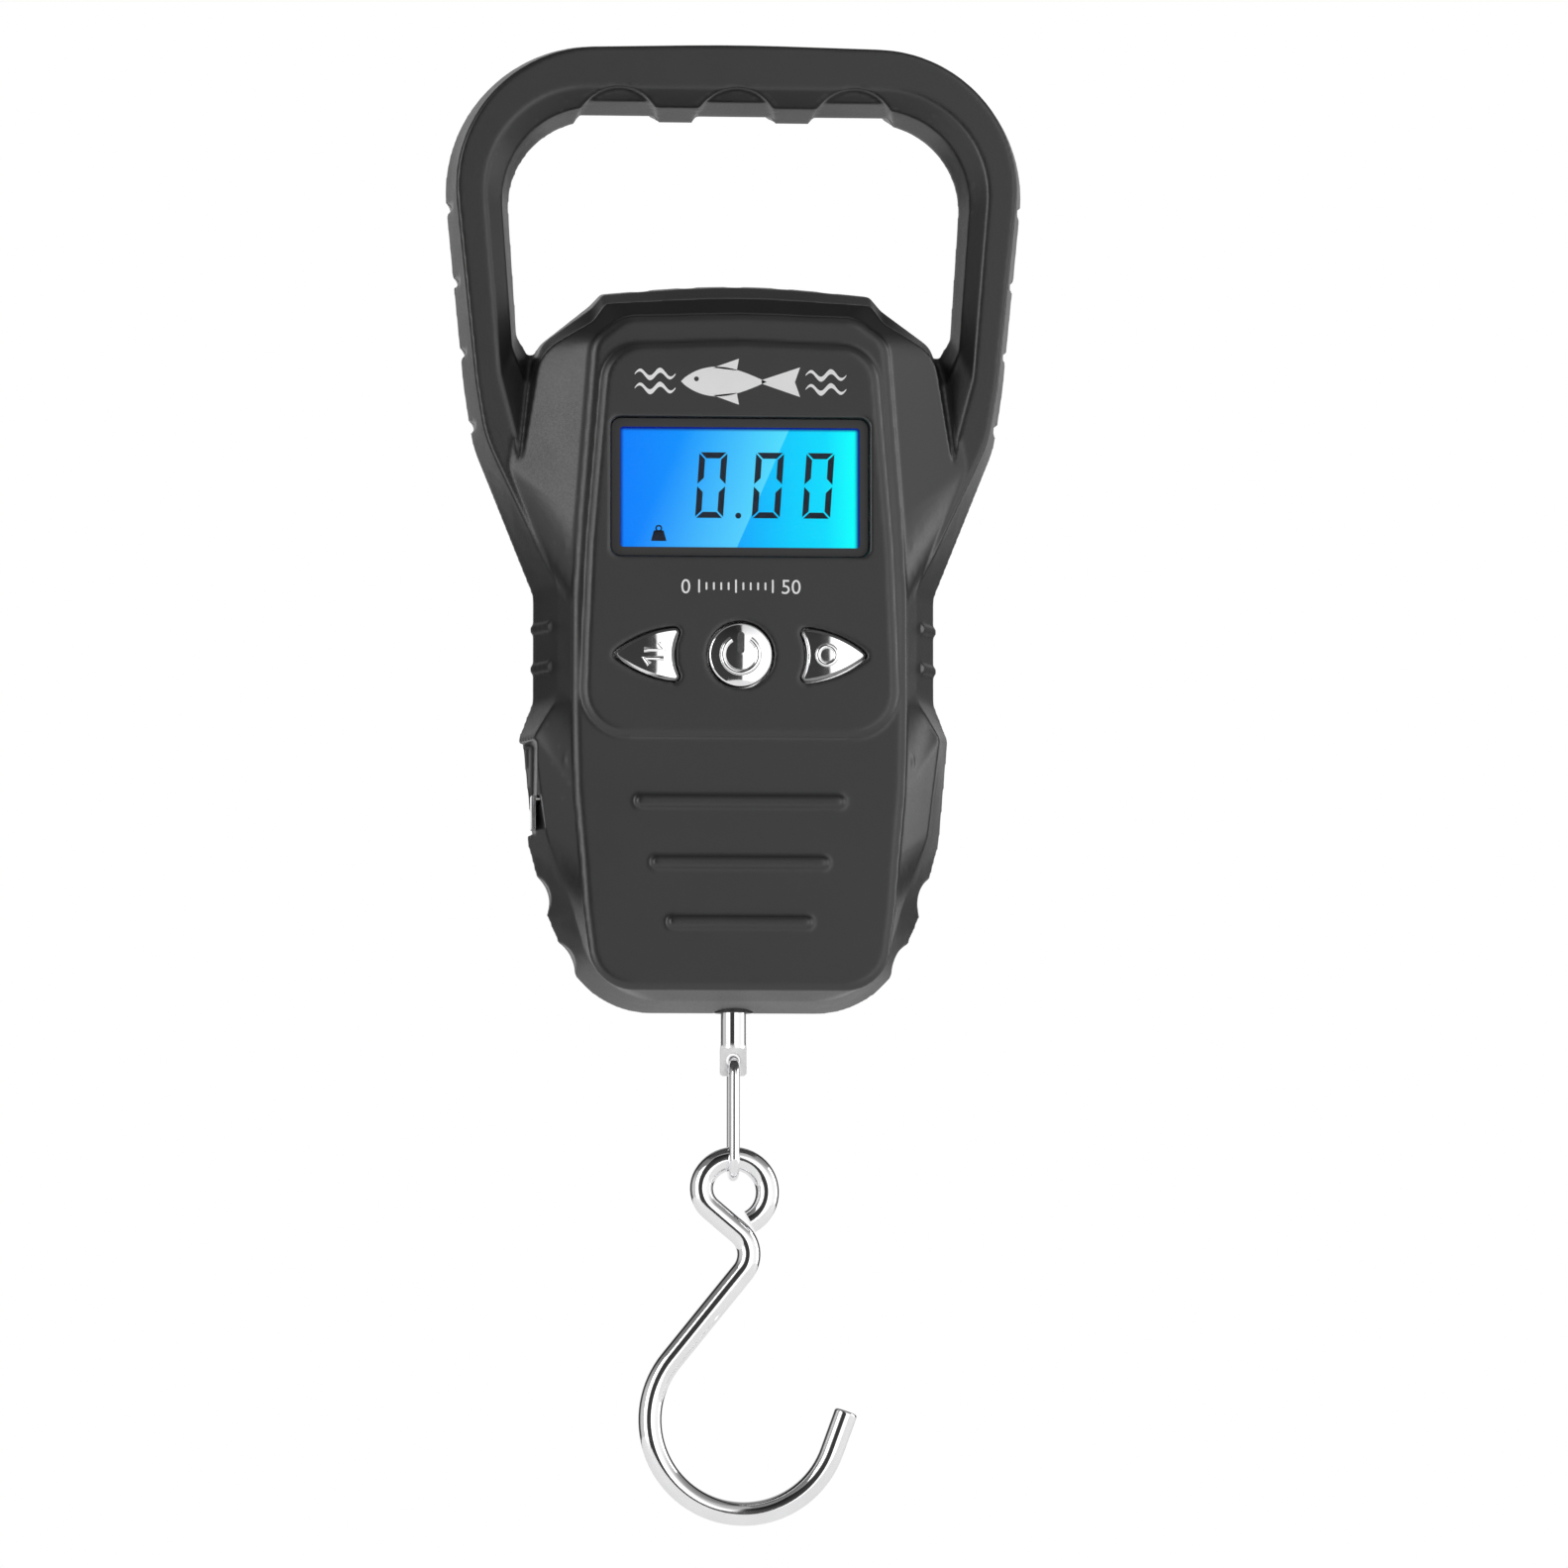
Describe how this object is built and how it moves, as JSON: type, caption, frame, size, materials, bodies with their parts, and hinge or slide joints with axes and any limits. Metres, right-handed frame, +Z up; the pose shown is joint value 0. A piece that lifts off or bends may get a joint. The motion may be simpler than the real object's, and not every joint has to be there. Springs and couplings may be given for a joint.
{
  "type": "digital fish scale",
  "caption": "Hand-held hanging scale with a D-shaped grip, lit display, three keys, a pull-out tape measure and a swivelling wire hook.",
  "frame": {"origin": "middle of the grip bar's underside, in the parting plane of the case", "axes": "+Z up along the hanging line, +X to the right as the display is read, +Y to the back"},
  "size_m": [0.083, 0.0306, 0.2129],
  "materials": {
    "case_plastic": "fine texture",
    "window": "clear, printed border",
    "lcd": "backlit",
    "diffuser": "milky",
    "elastomer": "soft",
    "board": "solder mask",
    "chip": "epoxy",
    "switch": "moulded",
    "chrome_key": "plated",
    "screw_steel": "zinc plated",
    "beam": "machined",
    "gauge": "foil on film",
    "cell": "sleeved",
    "contact": "nickel plated",
    "hook_steel": "plated wire",
    "bush": "moulded",
    "reel": "moulded",
    "blade": "printed steel strip",
    "tab": "plated",
    "spring": "blued strip"
  },
  "bodies": {
    "case": {"front_case": "case_plastic", "back_case": "case_plastic", "case_screws": "screw_steel", "display_window": "window", "lcd_panel": "lcd", "backlight": "diffuser", "zebra_strip": "elastomer", "main_board": "board", "board_screws": "screw_steel", "controller_chip": "chip", "tact_switches": "switch", "cell_left": "cell", "cell_right": "cell", "contact_plates": "contact", "contact_springs": "contact", "load_cell": "beam", "load_cell_screws": "screw_steel", "strain_gauges": "gauge", "thrust_washer": "hook_steel", "hanger_bush": "bush", "reel_axle": "screw_steel", "reel_spring": "spring"},
    "battery_door": {"battery_door": "case_plastic"},
    "power_key": {"power_key": "chrome_key"},
    "unit_key": {"unit_key": "chrome_key"},
    "tare_key": {"tare_key": "chrome_key"},
    "reel": {"tape_reel": "reel", "tape_coil": "blade"},
    "tape": {"tape_blade": "blade", "tape_tab": "tab"},
    "hanger": {"hanger": "hook_steel", "hanger_nut": "hook_steel"},
    "link": {"hook_link": "hook_steel"},
    "hook": {"hook": "hook_steel"}
  },
  "joints": [
    {"name": "power_press", "type": "slide", "parent": "case", "child": "power_key", "axis": [0, 1, 0], "range_m": [0, 0.0005], "stiffness_N_per_m": 800},
    {"name": "unit_press", "type": "slide", "parent": "case", "child": "unit_key", "axis": [0, 1, 0], "range_m": [0, 0.0005], "stiffness_N_per_m": 800},
    {"name": "tare_press", "type": "slide", "parent": "case", "child": "tare_key", "axis": [0, 1, 0], "range_m": [0, 0.0005], "stiffness_N_per_m": 800},
    {"name": "door_lift", "type": "slide", "parent": "case", "child": "battery_door", "axis": [0, 1, 0], "range_m": [0, 0.02]},
    {"name": "reel_spin", "type": "hinge", "parent": "case", "child": "reel", "pos_m": [0.0095, -0.0047, -0.1089], "axis": [0, -1, 0], "range_deg": [0, 216], "stiffness_Nm_per_rad": 0.002},
    {"name": "tape_pull", "type": "slide", "parent": "case", "child": "tape", "axis": [-1, 0, 0], "range_m": [0, 0.0402]},
    {"name": "hanger_swivel", "type": "hinge", "parent": "case", "child": "hanger", "pos_m": [0, 0, -0.1285], "axis": [0, 0, 1], "continuous": true},
    {"name": "link_swing", "type": "hinge", "parent": "hanger", "child": "link", "pos_m": [0, 0, -0.1352], "axis": [0, 1, 0], "range_deg": [-60, 60]},
    {"name": "hook_swing", "type": "hinge", "parent": "link", "child": "hook", "pos_m": [0, 0, -0.1492], "axis": [1, 0, 0], "range_deg": [-75, 75]}
  ],
  "couplings": [
    {"joint": "tape_pull", "follows": "reel_spin", "m_per_rad": 0.01062}
  ]
}
